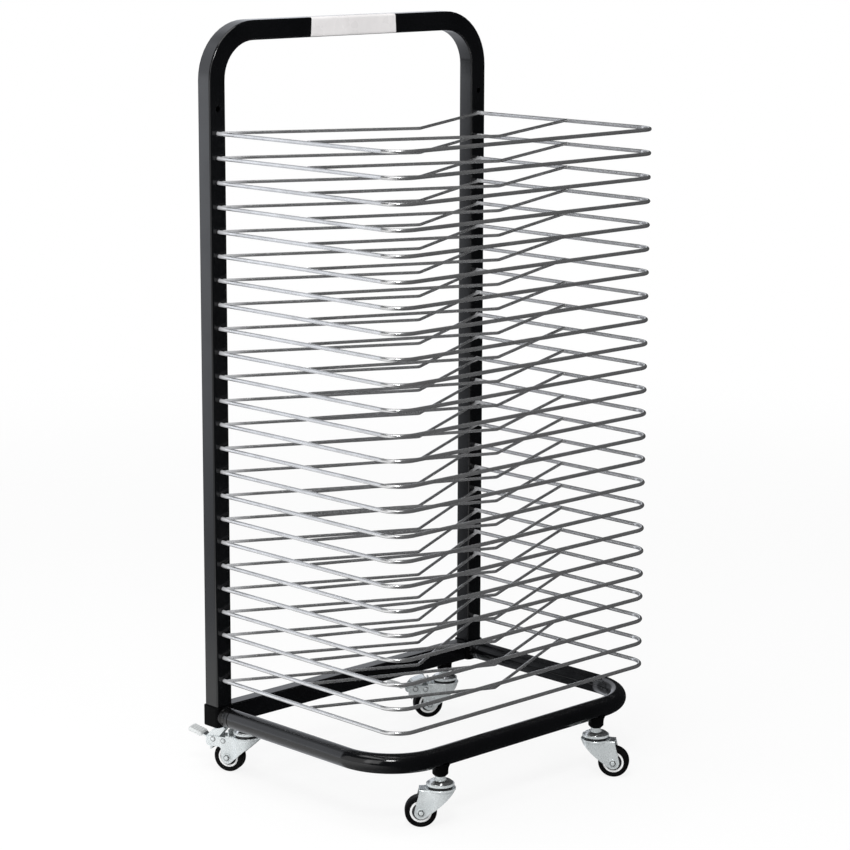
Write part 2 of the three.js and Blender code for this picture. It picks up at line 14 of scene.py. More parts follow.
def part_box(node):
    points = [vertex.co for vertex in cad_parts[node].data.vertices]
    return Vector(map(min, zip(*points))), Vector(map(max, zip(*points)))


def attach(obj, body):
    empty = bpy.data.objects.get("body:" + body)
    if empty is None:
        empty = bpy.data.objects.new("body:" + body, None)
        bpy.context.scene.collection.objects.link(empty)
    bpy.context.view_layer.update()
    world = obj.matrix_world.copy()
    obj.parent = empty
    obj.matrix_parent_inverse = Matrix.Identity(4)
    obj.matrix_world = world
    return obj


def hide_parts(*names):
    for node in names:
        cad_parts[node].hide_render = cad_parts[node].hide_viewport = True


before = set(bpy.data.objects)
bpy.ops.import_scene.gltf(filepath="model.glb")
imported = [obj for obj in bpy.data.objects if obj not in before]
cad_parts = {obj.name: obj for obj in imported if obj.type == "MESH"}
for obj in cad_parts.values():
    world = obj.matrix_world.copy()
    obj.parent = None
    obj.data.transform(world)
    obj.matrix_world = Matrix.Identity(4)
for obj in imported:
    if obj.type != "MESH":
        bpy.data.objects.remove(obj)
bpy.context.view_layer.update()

MM = 0.001
UPRIGHT_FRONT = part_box("back_frame")[0].y / MM

# Back frame
HALF_SPACING = 228.0
TUBE_HALF = 12.5
TUBE_WALL = 1.5
TUBE_CORNER = 3.0
TUBE_FOOT = 78.8
HANDLE_BEND = 60.0
HANDLE_HEIGHT = 962.5
HOLE_ROWS = 25
HOLE_RADIUS = 3.4
PITCH = 30.5
LOWEST_SHELF = 136.0

# Wire shelves
SHELF_COUNT = 24
WIRE = 2.5
SHELF_DEPTH = 321.0
SHELF_CORNER = 28.0
HOOK_Y = 4.4
HOOK_BEND = 4.2
HOOK_TOP = 12.0
CHEVRON_WIRE = 2.0
CHEVRON_RISE = 1.0
CHEVRON_BEND = 6.0
CHEVRONS = ((6.0, 115.5), (164.0, 98.0))

# Base
BASE_HEIGHT = 89.0
BASE_TUBE = 12.5
BASE_WALL = 1.5
BASE_REACH = 308.0
BASE_REAR = -18.2
BASE_BEND = 75.0
BAR_HALF_LENGTH = 212.9
BAR_HALF_DEPTH = 10.0
BAR_HALF_HEIGHT = 13.0
BLOCK_HALF = 14.8
BLOCK_BOTTOM = 75.5
BLOCK_TOP = 102.5
COLLAR_LENGTH = 15.6

# Casters
WHEEL_RADIUS = 20.0
TRAIL = 24.0
FORK_TOP = 49.5
FORK_SHEET = 1.5
FORK_ROUND = 18.0
FORK_HALF_WIDTH = 10.5
FORK_REAR = 26.0
FORK_LEAVE = math.radians(63)
FORK_SWEEP = 25.0
FORK_EDGE = 2.4
FORK_TIP = 8.4
SKIRT_BOTTOM = 46.2
LUG_REAR = 54.0
LUG_BOTTOM = 33.5
LUG_CORNER = 5.0
BRAKE_PIN = (44.0, 43.0)


def lattice(rows, columns, wrap_rows=False, wrap_columns=False):
    """Quads of a grid: cell (i, j) joins points (i, j), (i, j + 1), (i + 1, j + 1) and (i + 1, j)."""
    i = np.arange(rows if wrap_rows else rows - 1)
    j = np.arange(columns if wrap_columns else columns - 1)
    a, b = np.meshgrid(i, j, indexing="ij")
    c, d = (a + 1) % rows, (b + 1) % columns
    return np.stack([a * columns + b, a * columns + d, c * columns + d, c * columns + b], -1)


def skin(points, wrap_rows=False, wrap_columns=False):
    """A surface from a grid of points, as its points and quads."""
    points = np.asarray(points, float)
    quads = lattice(points.shape[0], points.shape[1], wrap_rows, wrap_columns)
    return points.reshape(-1, 3), quads.reshape(-1, 4)


def gathered(surfaces):
    """Several surfaces as one: each one's quads count on from the points before it."""
    starts = np.cumsum([0] + [len(points) for points, _ in surfaces[:-1]])
    points = np.concatenate([points for points, _ in surfaces])
    return points, np.concatenate([quads + start for (_, quads), start in zip(surfaces, starts)])


def moved(surface, turn=0.0, shift=(0, 0, 0), flip=False):
    """A surface turned about Z, then shifted; flip mirrors it in Y first."""
    points, quads = surface
    c, s = math.cos(turn), math.sin(turn)
    x, y, z = points[:, 0], points[:, 1] * (-1 if flip else 1), points[:, 2]
    return np.stack([c * x - s * y, s * x + c * y, z], -1) + np.asarray(shift, float), quads


def bent_line(corners, bends, steps):
    """Stations and headings along straight runs joined by round bends.

    A bend of radius r that turns by t starts r tan(t / 2) before its corner; at angle a it has gone
    r sin a along the run before it and r (1 - cos a) towards the run after it.
    """
    corners = np.asarray(corners, float)
    runs = np.diff(corners, axis=0)
    runs /= np.linalg.norm(runs, axis=1)[:, None]
    stations, headings = [corners[:1]], [runs[:1]]
    for corner, before, after, radius, count in zip(corners[1:-1], runs[:-1], runs[1:], bends, steps):
        turn = math.acos(float(np.clip(before @ after, -1, 1)))
        inward = (after - before * math.cos(turn)) / math.sin(turn)
        a = np.linspace(0, turn, count + 1)[:, None]
        start = corner - before * radius * math.tan(turn / 2)
        stations.append(start + before * radius * np.sin(a) + inward * radius * (1 - np.cos(a)))
        headings.append(before * np.cos(a) + inward * np.sin(a))
    return np.concatenate(stations + [corners[-1:]]), np.concatenate(headings + [runs[-1:]])


def softened(corners, radius, steps=4):
    """A 2-D outline with its inner corners rounded."""
    flat = [(u, v, 0) for u, v in corners]
    inner = len(corners) - 2
    return bent_line(flat, [radius] * inner, [steps] * inner)[0][:, :2]


def circle(radius, sides):
    """Points (r cos a, r sin a) round a circle."""
    a = np.linspace(0, 2 * np.pi, sides, endpoint=False)
    return radius * np.stack([np.cos(a), np.sin(a)], -1)


def rounded_rectangle(half_width, half_height, corner, steps, flat_points=2):
    """A rounded rectangle from its lower flat on: four quarter arcs about the corners' centres."""
    u, v = half_width - corner, half_height - corner
    a = np.linspace(0, np.pi / 2, steps + 1)[:, None]
    arc = lambda cu, cv, start: (cu, cv) + corner * np.hstack([np.cos(start + a), np.sin(start + a)])
    lower = np.stack([np.linspace(-u, u, flat_points), np.full(flat_points, -half_height)], -1)
    return np.concatenate([
        lower, arc(u, -v, -np.pi / 2)[1:], arc(u, v, 0), arc(-u, v, np.pi / 2), arc(-u, -v, np.pi)[:-1],
    ])


def carried(profile, stations, headings, side, widths=None):
    """Grid of a profile carried along a line: point (i, j) = station i + u_j side i + v_j rise i.

    Each side is the one before it made square to the new heading, and the rise is heading x side.
    """
    sides = [np.asarray(side, float)]
    for heading in headings[1:]:
        level = sides[-1] - (sides[-1] @ heading) * heading
        sides.append(level / np.linalg.norm(level))
    sides = np.array(sides)
    rises = np.cross(headings, sides)
    profiles = profile[None] * (np.ones((len(stations), 1)) if widths is None else widths)[:, None]
    return stations[:, None] + profiles[..., :1] * sides[:, None] + profiles[..., 1:] * rises[:, None]


def hollow(outer, inner):
    """A pipe with a wall: the outer grid, the inner grid, and a ring between them at each end."""
    return gathered([
        skin(outer, wrap_columns=True), skin(inner, wrap_columns=True),
        skin([outer[0], inner[0]], wrap_columns=True), skin([outer[-1], inner[-1]], wrap_columns=True),
    ])


def wire(corners, bends, steps, radius, sides, side):
    """Round wire with domed ends, where the radius is R cos b at a distance R sin b past the end."""
    stations, headings = bent_line(corners, bends, steps)
    b = np.linspace(0, np.pi / 2, 4)
    first = stations[0] - headings[0] * radius * np.sin(b[::-1])[:, None]
    last = stations[-1] + headings[-1] * radius * np.sin(b)[:, None]
    widths = np.concatenate([np.cos(b[::-1]), np.ones(len(stations) - 2), np.cos(b)])
    stations = np.concatenate([first, stations[1:-1], last])
    headings = np.concatenate([np.repeat(headings[:1], 4, 0), headings[1:-1], np.repeat(headings[-1:], 4, 0)])
    return skin(carried(circle(radius, sides), stations, headings, side, widths[:, None]), wrap_columns=True)


def turned(profile, sides, across=False, closed=False):
    """A profile of radius and height turned about Z: (r cos a, r sin a, h), or about Y with across."""
    r, h = np.asarray(profile, float).T
    a = np.linspace(0, 2 * np.pi, sides, endpoint=False)[:, None]
    x, y, z = r * np.cos(a), r * np.sin(a), h + 0 * a
    return skin(np.stack([x, z, y] if across else [x, y, z], -1), wrap_rows=True, wrap_columns=closed)


def bead(centre, radii, sides=10):
    """A weld bead: an ellipsoid, (a cos t cos f, b cos t sin f, c sin t) about its centre."""
    t = np.linspace(-np.pi / 2, np.pi / 2, sides // 2 + 1)
    points, quads = turned(np.stack([np.cos(t), np.sin(t)], -1), sides)
    return points * radii + np.asarray(centre, float), quads


def piece(name, body, finish, surfaces, stands_for=(), crease=38):
    """Puts surfaces in the rack's frame as one mesh object that rides on a body."""
    points, quads = gathered(surfaces)
    mesh = bpy.data.meshes.new(name)
    mesh.from_pydata(((points + (0, UPRIGHT_FRONT, 0)) * MM).tolist(), [], quads.tolist())
    work = bmesh.new()
    work.from_mesh(mesh)
    bmesh.ops.remove_doubles(work, verts=work.verts, dist=2e-6)
    bmesh.ops.dissolve_degenerate(work, edges=work.edges, dist=1e-7)
    bmesh.ops.recalc_face_normals(work, faces=work.faces)
    work.to_mesh(mesh)
    work.free()
    mesh.shade_smooth()
    mesh.set_sharp_from_angle(angle=math.radians(crease))
    mesh.materials.append(finish)
    made = bpy.data.objects.new(name, mesh)
    bpy.context.scene.collection.objects.link(made)
    made.modifiers.new("flats_stay_flat", "WEIGHTED_NORMAL").keep_sharp = True
    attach(made, body)
    if stands_for:
        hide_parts(*stands_for)
    return made


# Finishes

def put(tree, kind, inputs=None, **settings):
    """Adds a node with its settings, and links or sets its inputs."""
    made = tree.nodes.new(kind)
    for key, value in settings.items():
        setattr(made, key, value)
    for key, value in (inputs or {}).items():
        if isinstance(value, bpy.types.NodeSocket):
            tree.links.new(value, made.inputs[key])
        else:
            made.inputs[key].default_value = value
    return made


def effect(name, inputs, outputs):
    """A shader node group with named inputs and outputs; gives its tree, its input node and its output node."""
    tree = bpy.data.node_groups.new(name, "ShaderNodeTree")
    for label, kind, value in inputs:
        socket = tree.interface.new_socket(label, in_out="INPUT", socket_type=kind)
        socket.default_value = value
    for label, kind in outputs:
        tree.interface.new_socket(label, in_out="OUTPUT", socket_type=kind)
    return tree, tree.nodes.new("NodeGroupInput"), tree.nodes.new("NodeGroupOutput")


def mottle_effect():
    """Soft patches: two octaves of noise spread between a low and a high value."""
    tree, given, out = effect(
        "mottle",
        [("Scale", "NodeSocketFloat", 20.0), ("Low", "NodeSocketFloat", 0.3), ("High", "NodeSocketFloat", 0.4)],
        [("Value", "NodeSocketFloat")],
    )
    place = put(tree, "ShaderNodeTexCoord").outputs["Object"]
    noise = put(tree, "ShaderNodeTexNoise", {"Vector": place, "Scale": given.outputs["Scale"], "Detail": 3.0})
    spread = put(tree, "ShaderNodeMapRange", {
        "Value": noise.outputs["Fac"], "From Min": 0.32, "From Max": 0.68,
        "To Min": given.outputs["Low"], "To Max": given.outputs["High"],
    }, interpolation_type="SMOOTHSTEP")
    tree.links.new(spread.outputs["Result"], out.inputs["Value"])
    return tree


def peel_effect():
    """Fine dimples of a sprayed or moulded skin: small noise over slow waves, as a height."""
    tree, given, out = effect(
        "skin_dimples",
        [("Scale", "NodeSocketFloat", 900.0), ("Waves", "NodeSocketFloat", 0.3)],
        [("Height", "NodeSocketFloat")],
    )
    place = put(tree, "ShaderNodeTexCoord").outputs["Object"]
    fine = put(tree, "ShaderNodeTexNoise", {"Vector": place, "Scale": given.outputs["Scale"], "Detail": 2.0})
    slow_scale = put(tree, "ShaderNodeMath", {0: given.outputs["Scale"], 1: 0.12}, operation="MULTIPLY")
    slow = put(tree, "ShaderNodeTexNoise", {"Vector": place, "Scale": slow_scale.outputs[0], "Detail": 1.0})
    waves = put(tree, "ShaderNodeMath", {
        0: slow.outputs["Fac"], 1: given.outputs["Waves"], 2: fine.outputs["Fac"],
    }, operation="MULTIPLY_ADD")
    tree.links.new(waves.outputs[0], out.inputs["Height"])
    return tree


def dust_effect():
    """Dust that settles on faces that look up: the normal's rise, broken up by noise."""
    tree, given, out = effect(
        "settled_dust",
        [("Amount", "NodeSocketFloat", 0.1), ("Scale", "NodeSocketFloat", 60.0)],
        [("Mask", "NodeSocketFloat")],
    )
    place = put(tree, "ShaderNodeTexCoord").outputs["Object"]
    rise = put(tree, "ShaderNodeSeparateXYZ", {"Vector": put(tree, "ShaderNodeNewGeometry").outputs["Normal"]})
    up = put(tree, "ShaderNodeMapRange", {"Value": rise.outputs["Z"], "From Min": 0.45, "From Max": 1.0})
    noise = put(tree, "ShaderNodeTexNoise", {"Vector": place, "Scale": given.outputs["Scale"], "Detail": 4.0})
    broken = put(tree, "ShaderNodeMath", {0: up.outputs["Result"], 1: noise.outputs["Fac"]}, operation="MULTIPLY")
    share = put(tree, "ShaderNodeMath", {0: broken.outputs[0], 1: given.outputs["Amount"]}, operation="MULTIPLY")
    tree.links.new(share.outputs[0], out.inputs["Mask"])
    return tree


def painted_ends_effect():
    """Wire ends at the uprights: a smooth step of the place along Y, the mask of the painted highlight there."""
    tree, given, out = effect(
        "painted_bright_ends",
        [("Start", "NodeSocketFloat", 0.0), ("End", "NodeSocketFloat", 0.01)],
        [("Mask", "NodeSocketFloat")],
    )
    place = put(tree, "ShaderNodeTexCoord").outputs["Object"]
    along = put(tree, "ShaderNodeSeparateXYZ", {"Vector": place}).outputs["Y"]
    near = put(tree, "ShaderNodeMapRange", {
        "Value": along, "From Min": given.outputs["Start"], "From Max": given.outputs["End"],
    }, interpolation_type="SMOOTHSTEP")
    tree.links.new(near.outputs["Result"], out.inputs["Mask"])
    return tree


def tops_effect():
    """Level tops: a smooth step of how far a surface faces up."""
    tree, given, out = effect(
        "level_tops",
        [("Start", "NodeSocketFloat", 0.7), ("End", "NodeSocketFloat", 0.95)],
        [("Mask", "NodeSocketFloat")],
    )
    facing = put(tree, "ShaderNodeTexCoord").outputs["Normal"]
    up = put(tree, "ShaderNodeSeparateXYZ", {"Vector": facing}).outputs["Z"]
    level = put(tree, "ShaderNodeMapRange", {
        "Value": up, "From Min": given.outputs["Start"], "From Max": given.outputs["End"],
    }, interpolation_type="SMOOTHSTEP")
    tree.links.new(level.outputs["Result"], out.inputs["Mask"])
    return tree


MOTTLE, DIMPLES, DUST = mottle_effect(), peel_effect(), dust_effect()
PAINTED_ENDS, TOPS = painted_ends_effect(), tops_effect()


def use(tree, group, **inputs):
    return put(tree, "ShaderNodeGroup", inputs, node_tree=group).outputs


def blended(tree, share, first, second):
    """The first colour going over to the second by a share."""
    mix = put(tree, "ShaderNodeMix", {0: share, 6: (*first, 1), 7: (*second, 1)}, data_type="RGBA")
    return mix.outputs[2]


def finish(name, shades, patch, roughness, rough_scale, dimples, depth, dust=0.0, dust_shade=None, **fixed):
    """A finish: two shades in patches, a roughness that wanders, fine dimples, and dust where it can settle."""
    material = bpy.data.materials.new(name)
    material.use_nodes = True
    tree = material.node_tree
    surface = tree.nodes["Principled BSDF"]
    share = use(tree, MOTTLE, Scale=patch, Low=0.0, High=1.0)["Value"]
    colour = blended(tree, share, *shades)
    if dust:
        mask = use(tree, DUST, Amount=dust)["Mask"]
        layer = put(tree, "ShaderNodeMix", {0: mask, 6: colour, 7: (*dust_shade, 1)}, data_type="RGBA")
        colour = layer.outputs[2]
    tree.links.new(colour, surface.inputs["Base Color"])
    wander = use(tree, MOTTLE, Scale=rough_scale, Low=roughness[0], High=roughness[1])["Value"]
    tree.links.new(wander, surface.inputs["Roughness"])
    height = use(tree, DIMPLES, Scale=dimples)["Height"]
    bump = put(tree, "ShaderNodeBump", {"Strength": depth, "Distance": 0.0003, "Height": height})
    tree.links.new(bump.outputs["Normal"], surface.inputs["Normal"])
    for key, value in fixed.items():
        surface.inputs[key.replace("_", " ").title().replace("Ior", "IOR")].default_value = value
    return material


def painted_bright_ends(material, shade, metallic):
    """Paints a highlight on the wire ends of a finish: a paler, duller colour with less metal there, so the ends read
    bright beside the dark uprights; it joins its colour and its metal share.
    """
    tree = material.node_tree
    surface = tree.nodes["Principled BSDF"]
    front = UPRIGHT_FRONT * MM
    mask = use(tree, PAINTED_ENDS, Start=front - 0.026, End=front - 0.008)["Mask"]
    colour = surface.inputs["Base Color"].links[0].from_socket
    layer = put(tree, "ShaderNodeMix", {0: mask, 6: colour, 7: (*shade, 1)}, data_type="RGBA")
    tree.links.new(layer.outputs[2], surface.inputs["Base Color"])
    share = put(tree, "ShaderNodeMapRange", {"Value": mask, "To Min": metallic[0], "To Max": metallic[1]})
    tree.links.new(share.outputs["Result"], surface.inputs["Metallic"])


def painted_dark_tops(material, metallic):
    """Paints shade on the level tops of a finish: it gives them a larger share of metal than its sides, which takes
    away their pale diffuse colour and darkens them.
    """
    tree = material.node_tree
    mask = use(tree, TOPS, Start=0.8, End=0.97)["Mask"]
    share = put(tree, "ShaderNodeMapRange", {"Value": mask, "To Min": metallic[0], "To Max": metallic[1]})
    tree.links.new(share.outputs["Result"], tree.nodes["Principled BSDF"].inputs["Metallic"])


GREY_DUST = (0.16, 0.16, 0.165)
black_coat = finish(
    "black_powder_coat", ((0.0018, 0.0020, 0.0024), (0.0030, 0.0032, 0.0038)), 14, (0.12, 0.16), 22, 1100, 0.04,
    dust=0.03, dust_shade=GREY_DUST, specular_ior_level=0.5,
)
black_moulding = finish(
    "black_moulding", ((0.0014, 0.0014, 0.0016), (0.0026, 0.0026, 0.0029)), 40, (0.42, 0.54), 60, 1700, 0.35,
    dust=0.015, dust_shade=GREY_DUST, specular_ior_level=0.04,
)
glossy_moulding = finish(
    "glossy_moulding", ((0.0018, 0.0018, 0.0021), (0.0032, 0.0032, 0.0036)), 40, (0.18, 0.28), 60, 1500, 0.16,
    dust=0.02, dust_shade=GREY_DUST, specular_ior_level=0.42,
)
silver_wire = finish(
    "silver_wire", ((0.57, 0.572, 0.576), (0.65, 0.652, 0.656)), 30, (0.18, 0.25), 55, 1500, 0.02,
    dust=0.05, dust_shade=GREY_DUST,
)
# painted highlight: the wire ends by the uprights get a paler, less metallic colour so they read bright
painted_bright_ends(silver_wire, (0.58, 0.585, 0.60), (0.87, 0.25))
bright_zinc = finish(
    "bright_zinc", ((0.72, 0.765, 0.775), (0.79, 0.83, 0.84)), 60, (0.22, 0.32), 140, 1300, 0.03,
)
# painted shade: the level tops of the zinc get more metal than the sides, which darkens them
painted_dark_tops(bright_zinc, (0.35, 0.95))
polished_zinc = finish(
    "polished_zinc", ((0.70, 0.72, 0.73), (0.80, 0.82, 0.82)), 90, (0.08, 0.15), 140, 1300, 0.05, metallic=0.93,
)
steel = finish(
    "plain_steel", ((0.30, 0.31, 0.31), (0.40, 0.41, 0.41)), 120, (0.16, 0.26), 160, 1300, 0.08, metallic=0.8,
)
tyre_rubber = finish(
    "tyre_rubber", ((0.0028, 0.0028, 0.0030), (0.0050, 0.0050, 0.0054)), 120, (0.36, 0.50), 90, 2200, 0.35,
    dust=0.03, dust_shade=GREY_DUST, specular_ior_level=0.08,
)
pale_hub = finish("pale_hub", ((0.86, 0.865, 0.865), (0.91, 0.915, 0.915)), 80, (0.3, 0.42), 90, 1500, 0.12)
# painted shade: near black for the ring in the shaded gap under the raceway and the caps in the shaded recesses of the
# hubs
shade_black = finish("painted_shade_black", ((0.02, 0.02, 0.022), (0.035, 0.035, 0.038)), 150, (0.35, 0.5), 120, 1800, 0.2)
pale_pedal = finish("pale_pedal", ((0.60, 0.62, 0.62), (0.68, 0.70, 0.70)), 70, (0.34, 0.48), 110, 1600, 0.2)
label_film = finish("label_film", ((0.78, 0.76, 0.76), (0.83, 0.81, 0.81)), 35, (0.25, 0.34), 50, 700, 0.1)


# Frame and base

def handle_line():
    """Stations up the left upright, over the handle and down the right one, and the angle f turned so far.

    The heading is (sin f, 0, cos f); each bend is centre + R (-cos f, sin f).
    """
    zone = LOWEST_SHELF + PITCH * (np.arange(HOLE_ROWS * 6 + 1) / 6 - 0.5)
    bend_z = HANDLE_HEIGHT - HANDLE_BEND
    bend_x = HALF_SPACING - HANDLE_BEND
    rise = np.concatenate([[TUBE_FOOT], zone, [bend_z]])
    f = np.linspace(0, np.pi / 2, 13)[1:]
    turn = np.concatenate([np.zeros(len(rise)), f, np.pi - f[::-1], np.full(len(rise), np.pi)])
    first = np.stack([-bend_x - HANDLE_BEND * np.cos(f), bend_z + HANDLE_BEND * np.sin(f)], -1)
    second = np.stack([-first[::-1, 0], first[::-1, 1]], -1)
    left = np.stack([np.full(len(rise), -HALF_SPACING), rise], -1)
    line = np.concatenate([left, first, second, left[::-1] * (-1, 1)])
    holed = np.zeros(len(line) - 1, bool)
    holed[1:len(zone)] = True
    return line, turn, holed | holed[::-1]


def holed_wall():
    """One wire hole in the front wall: rings from the outer face through the hole to the inner face.

    Ring points go from the circle (r cos a, r sin a) out to the square border (w s, h t) of the cell.
    """
    a = np.radians(15 * np.arange(24))
    t = (np.arange(24) + 3) % 24
    m, edge = (t % 6 - 3) / 3, t // 6
    one = np.ones(24)
    border = np.stack([np.choose(edge, [one, -m, -one, m]), np.choose(edge, [m, one, -m, -one])], -1)
    border = border * (TUBE_HALF - TUBE_CORNER, PITCH / 2)
    rim = [(5.4, 0), (HOLE_RADIUS + 0.4, 0), (HOLE_RADIUS + 0.12, 0.12), (HOLE_RADIUS, 0.4), (HOLE_RADIUS, TUBE_WALL)]
    ring = lambda points, y: np.stack([points[:, 0], np.full(24, y), points[:, 1]], -1)
    around = np.stack([np.cos(a), np.sin(a)], -1)
    return np.stack([ring(border, 0)] + [ring(r * around, y) for r, y in rim] + [ring(border, TUBE_WALL)])


def back_frame():
    """Square tube along the handle line: point = station + u outward + v back, open at the front where holes are."""
    line, turn, holed = handle_line()
    outward = np.stack([-np.cos(turn), 0 * turn, np.sin(turn)], -1)[:, None]
    centre = np.stack([line[:, 0], np.full(len(line), TUBE_HALF), line[:, 1]], -1)[:, None]
    walls = []
    for inset, steps in ((0, 6), (TUBE_WALL, 6)):
        half = TUBE_HALF - inset
        profile = rounded_rectangle(half, half, TUBE_CORNER - inset, steps, flat_points=7)
        points = centre + profile[:, :1] * outward + profile[:, 1:] * np.array([0, 1, 0])
        quads = lattice(*points.shape[:2], wrap_columns=True)
        keep = np.ones(quads.shape[:2], bool)
        keep[holed, :6] = False
        walls.append((points, quads[keep]))
    surfaces = [(points.reshape(-1, 3), quads) for points, quads in walls]
    surfaces += [skin([walls[0][0][end], walls[1][0][end]], wrap_columns=True) for end in (0, -1)]
    cell, quads = skin(holed_wall(), wrap_columns=True)
    rows = LOWEST_SHELF + PITCH * np.arange(HOLE_ROWS)
    places = np.array([(side * HALF_SPACING, 0, z) for side in (-1, 1) for z in rows])
    points = (places[:, None] + cell[None]).reshape(-1, 3)
    counted = (np.arange(len(places))[:, None, None] * len(cell) + quads[None]).reshape(-1, 4)
    return surfaces + [(points, counted)]


def base_loop():
    """Round tube along the loop, from one collar round the front to the other."""
    stations, headings = bent_line(
        [(-HALF_SPACING, BASE_REAR, BASE_HEIGHT), (-HALF_SPACING, -BASE_REACH, BASE_HEIGHT),
         (HALF_SPACING, -BASE_REACH, BASE_HEIGHT), (HALF_SPACING, BASE_REAR, BASE_HEIGHT)],
        [BASE_BEND] * 2, [20] * 2,
    )
    side = (1, 0, 0)
    return [hollow(*(carried(circle(r, 40), stations, headings, side) for r in (BASE_TUBE, BASE_TUBE - BASE_WALL)))]


def cross_bar():
    """Rectangular tube along X."""
    stations = np.array([(x, TUBE_HALF, BASE_HEIGHT) for x in (-BAR_HALF_LENGTH, BAR_HALF_LENGTH)])
    headings = np.array([(1.0, 0, 0)] * 2)
    walls = [
        carried(rounded_rectangle(BAR_HALF_DEPTH - w, BAR_HALF_HEIGHT - w, 2.2 - w, 5), stations, headings, (0, 1, 0))
        for w in (0, 1.5)
    ]
    return [hollow(*walls)]


def corner_block():
    """Moulded foot of an upright: rounded squares stacked up the block."""
    edge = 1.2
    a = np.linspace(0, np.pi / 2, 4)
    levels = [(0, 0, BLOCK_BOTTOM)]
    levels += [(BLOCK_HALF - edge * (1 - s), 5.3 - edge * (1 - s), BLOCK_BOTTOM + edge * (1 - c))
               for s, c in zip(np.sin(a), np.cos(a))]
    levels += [(BLOCK_HALF - 0.8 * (1 - c), 5.3 - 0.8 * (1 - c), BLOCK_TOP - 0.8 * (1 - s))
               for s, c in zip(np.sin(a), np.cos(a))]
    levels += [(12.8, 3.3, BLOCK_TOP - 0.3), (12.8, 3.3, BLOCK_BOTTOM + 3), (0, 0, BLOCK_BOTTOM + 3)]
    rings = []
    for half, corner, z in levels:
        ring = rounded_rectangle(half, half, corner, 5)
        rings.append(np.column_stack([ring[:, 0], ring[:, 1] + TUBE_HALF, np.full(len(ring), z)]))
    return [skin(rings, wrap_columns=True)]


def collar():
    """Glossy collar in front of a foot block, with a groove near its end and a spigot in the tube, turned about Y."""
    front = TUBE_HALF - BLOCK_HALF
    end = front - COLLAR_LENGTH
    profile = np.array([
        (0, front + 1), (13.3, front + 1), (13.3, front - 1.2), (12.8, front - 2.4), (12.4, front - 4.2),
        (12.4, front - 5.6), (12.65, front - 6.2), (12.65, front - 8.6), (12.4, front - 9.2), (12.4, end + 4.6),
        (12.6, end + 4), (12.6, end + 1.1), (11.6, end + 0.6), (11.6, end), (10.3, end), (10.3, end - 20), (0, end - 20),
    ])
    points, quads = turned(profile, 48, across=True)
    return [(points + (0, 0, BASE_HEIGHT), quads)]


# Shelves

def wire_shelf(height):
    """Outer wire with its two hooks, two chevron wires between its sides, and a weld bead at each end."""
    x = HALF_SPACING
    outer = wire(
        [(-x, HOOK_Y, HOOK_TOP), (-x, HOOK_Y, 0), (-x, -SHELF_DEPTH, 0),
         (x, -SHELF_DEPTH, 0), (x, HOOK_Y, 0), (x, HOOK_Y, HOOK_TOP)],
        [HOOK_BEND, SHELF_CORNER, SHELF_CORNER, HOOK_BEND], [5, 14, 14, 5], WIRE, 16, (1, 0, 0),
    )
    surfaces = [outer]
    end = x - WIRE + 1
    for start, reach in CHEVRONS:
        surfaces.append(wire(
            [(-end, -start, CHEVRON_RISE), (0, -start - reach, CHEVRON_RISE), (end, -start, CHEVRON_RISE)],
            [CHEVRON_BEND], [8], CHEVRON_WIRE, 14, (0, 0, 1),
        ))
        surfaces += [bead((side * (x - 2.3), -start - 0.6, 0.8), (1.7, 3.4, 2.3)) for side in (-1, 1)]
    return [moved(surface, shift=(0, 0, height)) for surface in surfaces]


# Casters

def saddle(rear):
    """Moulded spacer: (r cos a, r sin a, z), with its lip following the underside of the tube above.

    Under the round tube the seat is z = axis - sqrt(R^2 - y^2); under the flat bar it is level.
    """
    a = np.linspace(0, 2 * np.pi, 48, endpoint=False)
    lip = 10.6 if rear else 12.4
    seat_radius = BASE_TUBE + 0.3

    def seat(r):
        if rear:
            return np.full(48, BASE_HEIGHT - BAR_HALF_HEIGHT - 0.3)
        under = BASE_HEIGHT - np.sqrt(seat_radius ** 2 - (r * np.sin(a)) ** 2)
        return np.minimum(under, 80.5)

    low = softened([(4.3, 64.8), (7.4, 64.8), (10.0, 67.6), (10.0, 71.6)], 1.6)
    rings = [np.stack([r * np.cos(a), r * np.sin(a), np.full(48, z)], -1) for r, z in low]
    for share in np.linspace(0.15, 1, 7):
        r = 10.0 + (lip - 10.0) * share ** 2
        z = low[-1][1] + (seat(lip) - low[-1][1]) * share
        rings.append(np.stack([r * np.cos(a), r * np.sin(a), z], -1))
    for r in np.linspace(lip - 0.3, 4.3, 5):
        rings.append(np.stack([r * np.cos(a), r * np.sin(a), seat(r)], -1))
    rings.append(rings[0])
    return [skin(np.array(rings), wrap_columns=True)]


def stem():
    """King pin and domed raceway, turned as one."""
    dome = softened([(14.8, 53.2), (16.2, 53.2), (15.9, 56.6), (13.4, 58.5), (9.6, 59.7), (7.0, 60.1)], 0.5)
    profile = np.concatenate([
        [(0, 43.7)], softened([(6.4, 43.7), (7, 44.3), (7, 46.7)], 0.4), [(3.5, 46.7), (3.5, 53.2)],
        dome, [(5, 60.2), (0, 60.2)],
    ])
    return [turned(profile, 64)]


def raceway_rim():
    """Rolled rim of the raceway: a rounded profile turned about the swivel axis."""
    rim = softened([(14.8, 54), (14.8, 53), (17.5, 53), (17.5, 55.5), (16.6, 56.1), (15.4, 55.9), (14.8, 54)], 0.5)
    return [turned(rim, 64)]


def neck():
    """Neck and stem between the raceway and the spacer, turned as one."""
    profile = softened([(0, 59), (7.6, 59), (7.6, 60.4), (6.4, 61.2), (6.4, 64.5), (4, 64.5), (4, 91), (0, 91)], 0.4)
    return [turned(profile, 48)]


def plate(outline, low, high):
    """A flat plate across Y: an outline of X and Z at both faces, each face closed by a fan about its middle."""
    rows = [(outline.mean(0) + 0 * outline, low), (outline, low), (outline, high), (outline.mean(0) + 0 * outline, high)]
    return skin([np.stack([o[:, 0], np.full(len(o), y), o[:, 1]], -1) for o, y in rows], wrap_columns=True)


